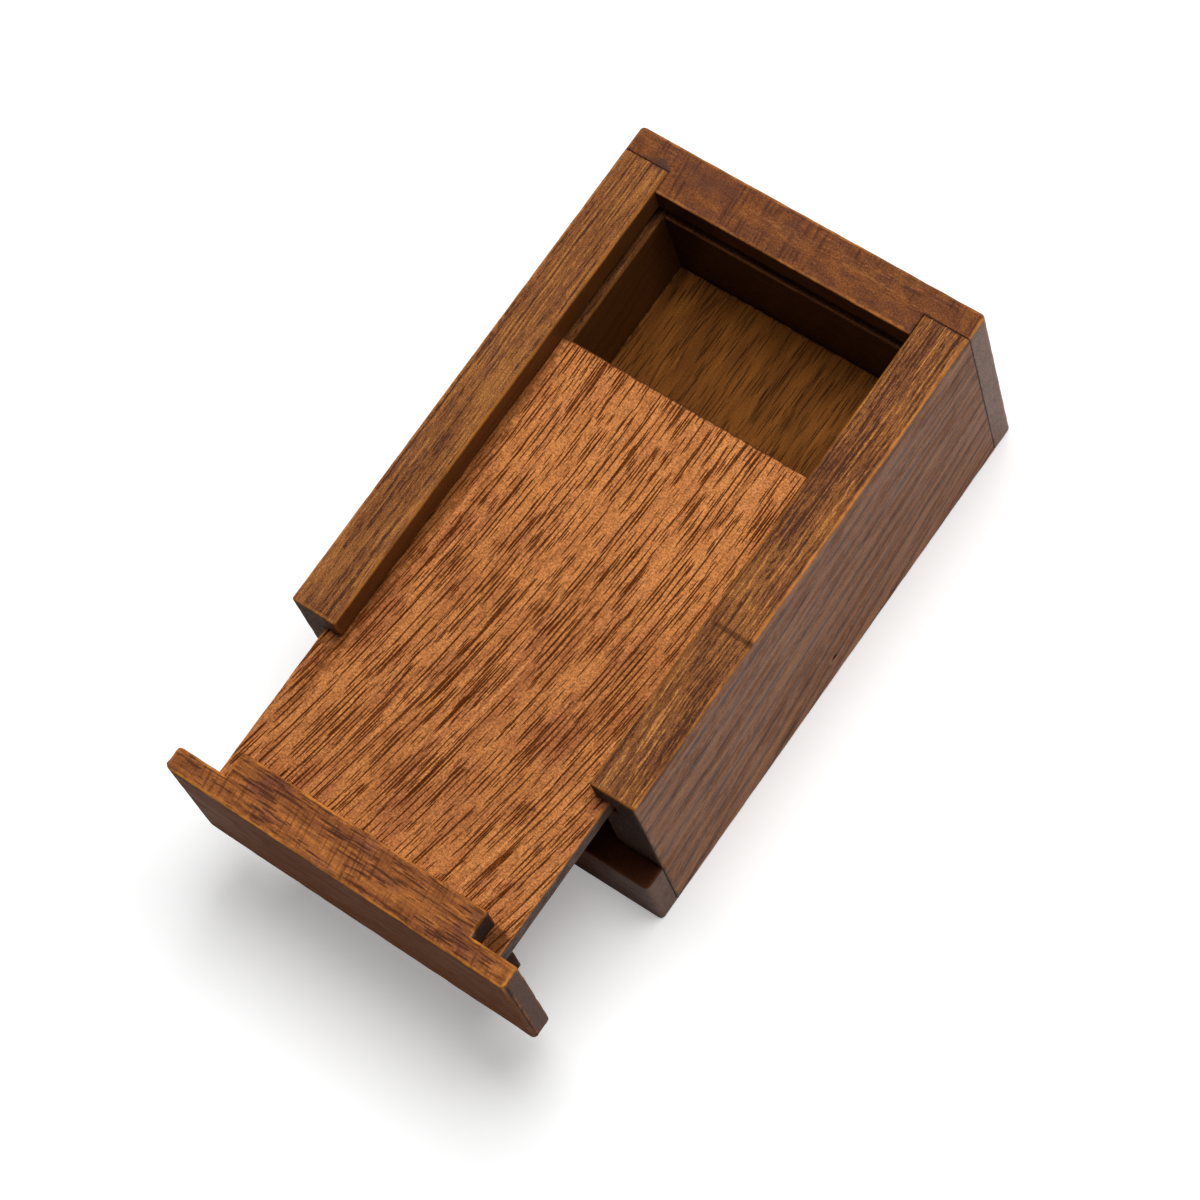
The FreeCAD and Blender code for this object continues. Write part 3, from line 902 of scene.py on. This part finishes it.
def metal(name, base, stain, rough, scale):
    """Tarnished metal, half dulled: mottles, fine scratches along X and slight relief."""
    tree = Tree(name)
    place = tree.millimetres()
    mottle = tree.noise(place, (scale,) * 3, detail=4.0, roughness=0.6)
    scratches = tree.noise(place, (scale * 3, scale * 0.08, scale * 0.08), (3.1, 0, 0))
    colour = tree.mix(tree.ease(mottle, 0.38, 0.62), base, stain)
    colour = tree.mix(tree.ease(scratches, 0.58, 0.70, 0.0, 0.5), colour, base)
    height = tree.math("ADD", mottle, tree.times(scratches, 0.4))
    bump = {"Strength": 0.5, "Distance": 0.12 * MM, "Height": height}
    shader = tree.add("BsdfPrincipled", {
        "Base Color": colour,
        "Metallic": 0.5,
        "Roughness": tree.spread(mottle, rough - 0.08, rough + 0.1),
        "Normal": tree.add("Bump", bump).outputs[0],
    })
    return tree.finish(shader.outputs[0])


# Pieces

def side_wall(name, side, material):
    """A side wall with the lid's groove along its inner face; side is 1 on the right, -1 on the left."""
    low, high = RIGHT if side > 0 else LEFT
    groove_x = sorted((side * (WALL_INSIDE - PAST), side * (PANEL[1][0] + GROOVE_SIDE_PLAY)))
    groove = ((groove_x[0], low[1] - PAST, GROOVE_LOW), (groove_x[1], high[1] + PAST, GROOVE_HIGH))
    whole = (low, (high[0], high[1] - GLUE_GAP, high[2]))
    far_joint = around((low[0], high[1], low[2]), high)
    near_joint = around(low, (high[0], low[1], RAIL[1][2]))
    bore = ((side * RIGHT[1][0], 0.0, PIN_HEIGHT), PIN_HOLE, side * (RIGHT[1][0] - WALL_INSIDE))
    # Painted shade on the right wall's near end, in the lid block's shadow, and on both inner faces;
    # painted light on both outer faces
    near_end_shade = 0.7 if side > 0 else 0.0
    board(
        name, "box", material, [whole], [groove], joints=[far_joint, near_joint],
        seed=3 + side, hole=bore, face_shade=[(1, -1, near_end_shade), (0, side, -0.14), (0, -side, 0.3)],
    )


def end_joints(near, far, bottom, top):
    """Boxes round the edges of an end board that are glued against the walls."""
    return [
        ((x_low, near - SLACK, bottom - PAST), (x_high, far + SLACK, top + PAST))
        for x_low, x_high in (
            (LEFT[0][0] - PAST, -WALL_INSIDE + SLACK), (WALL_INSIDE - SLACK, RIGHT[1][0] + PAST),
        )
    ]


def far_board(material):
    """The full-height end board: a lip across the wall ends and a tongue between the walls."""
    low, high = FAR
    lip = ((low[0], WALL_END_FAR, low[2]), high)
    tongue = ((-WALL_INSIDE + GLUE_GAP, low[1], low[2]), (WALL_INSIDE - GLUE_GAP, WALL_END_FAR, high[2]))
    groove = (
        (low[0] - PAST, low[1] - PAST, GROOVE_LOW),
        (high[0] + PAST, low[1] + FAR_GROOVE_DEPTH, GROOVE_HIGH),
    )
    outer_corners = [(around((x, high[1], low[2]), (x, high[1], high[2])), 0.9) for x in (low[0], high[0])]
    board(
        "far_end_board", "box", material, [lip, tongue], [groove],
        joints=end_joints(low[1], WALL_END_FAR, low[2], high[2]), soft=outer_corners,
        # Painted shade on the inner face, which looks away from the lamps
        radius=0.4, seed=6, face_shade=[(1, -1, 0.6)],
    )


def end_rail(material):
    """The low near end rail, rabbeted like the far board."""
    low, high = RAIL
    lip_back = WALL_END_NEAR - GLUE_GAP
    lip = (low, (high[0], lip_back, high[2]))
    tongue = ((-WALL_INSIDE + GLUE_GAP, lip_back, low[2]), (WALL_INSIDE - GLUE_GAP, high[1], high[2]))
    outer_corners = [(around((x, low[1], low[2]), (x, low[1], high[2])), 0.8) for x in (low[0], high[0])]
    board(
        "near_end_rail", "box", material, [lip, tongue],
        joints=end_joints(lip_back, high[1], low[2], high[2]), soft=outer_corners,
        # Painted shade on the rail's top under the lid and on its front, and darker on its right end
        radius=0.4, seed=7, face_shade=[(0, 1, 0.3), (2, 1, 0.6), (1, -1, 0.45)],
    )


def plain_board(name, material, seed):
    """A box-shaped board a hair smaller than its CAD node."""
    low, high = corners(name)
    low = (low[0] + GLUE_GAP, low[1] + GLUE_GAP, low[2])
    high = (high[0] - GLUE_GAP, high[1] - GLUE_GAP, high[2])
    board(
        name, "box", material, [(low, high)], joints=[around(low, high)],
        radius=0.2, seed=seed,
    )


def lid(panel_material, block_material):
    """The sliding panel and the T-shaped block on its near end, both sitting a little to the left."""
    low, high = PANEL
    board(
        "lid_panel", "lid", panel_material,
        [((LID_SHIFT - PANEL_HALF, low[1], low[2]), (LID_SHIFT + PANEL_HALF, high[1], high[2]))],
        # Painted shade on the panel's right edge, inside the groove
        radius=0.2, seed=11, face_shade=[(0, 1, 0.85)],
    )

    low, high = BLOCK
    lip_front, lip_back = low[1] - LIP_PROUD, low[1] + LIP_THICKNESS
    lip = ((LIP_LEFT, lip_front, low[2]), (LIP_RIGHT, lip_back, high[2]))
    tongue_left, tongue_right = LID_SHIFT - TONGUE_HALF, LID_SHIFT + TONGUE_HALF
    tongue = ((tongue_left, low[1] + PAST, low[2]), (tongue_right, high[1], high[2]))
    slot = (
        (LIP_LEFT - PAST, lip_back, PANEL[0][2]),
        (LIP_RIGHT + PAST, high[1] + PAST, PANEL[1][2]),
    )
    slot_edges = around((LIP_LEFT, lip_back, PANEL[0][2]), (LIP_RIGHT, high[1], PANEL[1][2]))
    upright = ((LIP_LEFT, lip_front, 1.1), (LIP_LEFT, lip_back, 0.9), (LIP_RIGHT, lip_front, 0.8))
    soft = [(around((x, y, low[2]), (x, y, high[2])), softer) for x, y, softer in upright]
    # The lip's lower back edge right of the tongue
    soft.append((around((tongue_right + 1, lip_back, low[2]), (LIP_RIGHT, lip_back, low[2])), 1.1))
    board(
        "lid_end_block", "lid", block_material, [lip, tongue], [slot],
        # Painted shade on the block's front, which looks away from the lamps
        joints=[slot_edges], soft=soft, radius=0.4, seed=12, face_shade=[(1, -1, 0.25)],
        worn=0.11, skew=BLOCK_SKEW,
    )


def rattle_slug(material):
    """The loose slab in the chamber, with well rounded edges."""
    board("rattle_slug", "slug", material, [SLUG], radius=0.7, seed=31, step=1.0)


def side_pins(material):
    """The pins keep their CAD shape and take a material."""
    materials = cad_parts["side_pins"].data.materials
    materials.clear()
    materials.append(material)


# Floor, light and camera

WHITE = (1.0, 1.0, 1.0, 1.0)
PALE = (0.86, 0.86, 0.86, 1.0)


def metres(*values):
    """Millimetres as metres."""
    return tuple(value * MM for value in values)


def stage():
    """A pale floor that reads as white to the camera and keeps the object's shadow."""
    half_side, drop = metres(900, 0.02)
    bm = bmesh.new()
    bmesh.ops.create_grid(bm, x_segments=8, y_segments=8, size=half_side)
    mesh = bpy.data.meshes.new("floor")
    bm.to_mesh(mesh)
    bm.free()
    floor = bpy.data.objects.new("floor", mesh)
    floor.location.z = -drop
    bpy.context.scene.collection.objects.link(floor)
    tree = Tree("white floor")
    seen = tree.add("LightPath", {}).outputs["Is Camera Ray"]
    paper = tree.add("BsdfDiffuse", {"Color": PALE}).outputs[0]
    glow = {"Color": WHITE, "Strength": tree.times(seen, 0.30)}
    lift = tree.add("Emission", glow).outputs[0]
    mesh.materials.append(tree.finish(tree.add("AddShader", {0: paper, 1: lift}).outputs[0]))


def area_light(name, at, target, size, power):
    """A rectangular lamp aimed at a target, which glossy surfaces don't mirror. Lengths are metres."""
    light = bpy.data.lights.new(name, "AREA")
    light.shape = "RECTANGLE"
    light.size, light.size_y = size
    light.energy = power
    lamp = bpy.data.objects.new(name, light)
    lamp.location = at
    lamp.rotation_euler = (Vector(target) - Vector(at)).to_track_quat("-Z", "Y").to_euler()
    lamp.visible_glossy = False
    bpy.context.scene.collection.objects.link(lamp)


def studio():
    """A white backdrop that lights the object only faintly, and two lamps."""
    backdrop_light, backdrop_seen = 0.05, 1.0
    world = bpy.data.worlds.new("studio")
    bpy.context.scene.world = world
    world.use_nodes = True
    nodes, links = world.node_tree.nodes, world.node_tree.links
    background = nodes["Background"]
    background.inputs["Color"].default_value = WHITE
    path = nodes.new("ShaderNodeLightPath")
    level = nodes.new("ShaderNodeMapRange")
    level.inputs["To Min"].default_value = backdrop_light
    level.inputs["To Max"].default_value = backdrop_seen
    links.new(path.outputs["Is Camera Ray"], level.inputs["Value"])
    links.new(level.outputs[0], background.inputs["Strength"])
    area_light("key softbox", metres(45, 130, 720), metres(0, -10, 20), metres(500, 400), 5.5)
    area_light("right fill", metres(700, 60, 130), metres(0, 0, 20), metres(500, 200), 0.6)


def camera():
    """The photograph's viewpoint, from a perspective fit of the box's straight edges."""
    place = Vector((225.5, -151.4, 599.5))
    target = Vector((0.96, -14.32, 20.0))
    roll = radians(25.05)
    focal = 133.24
    lens = bpy.data.cameras.new("photo camera")
    lens.sensor_width = 36.0
    lens.lens = focal
    lens.clip_start, lens.clip_end = metres(10, 10000)
    body = bpy.data.objects.new("photo camera", lens)
    turn = (target - place).to_track_quat("-Z", "Y").to_matrix() @ Matrix.Rotation(-roll, 3, "Z")
    body.matrix_world = Matrix.Translation(place * MM) @ turn.to_4x4()
    bpy.context.scene.collection.objects.link(body)
    bpy.context.scene.camera = body


def build():
    """Every piece of the box with its material."""
    walls = wall_wood()
    ends = end_wood()
    floors = floor_wood()
    raw = raw_wood()
    side_wall("left_side_wall", -1, walls)
    side_wall("right_side_wall", 1, walls)
    far_board(ends)
    end_rail(ends)
    plain_board("base_panel", floors, 21)
    plain_board("inner_floor", floors, 22)
    plain_board("left_floor_strip", raw, 23)
    plain_board("right_floor_strip", raw, 24)
    plain_board("near_cross_batten", raw, 25)
    plain_board("far_cross_batten", raw, 26)
    lid(lid_wood(), block_wood())
    rattle_slug(metal("cast slug metal", srgb(150, 150, 152), srgb(112, 112, 116), 0.5, 2.4))
    # The pins' steel is tarnished, and darkened further as painted shade in their bores
    side_pins(metal("tarnished pin steel darkened as painted shade", srgb(84, 74, 64), srgb(42, 33, 28), 0.45, 0.3))


bpy.context.scene.view_settings.view_transform = "Standard"
stage()
studio()
camera()
build()
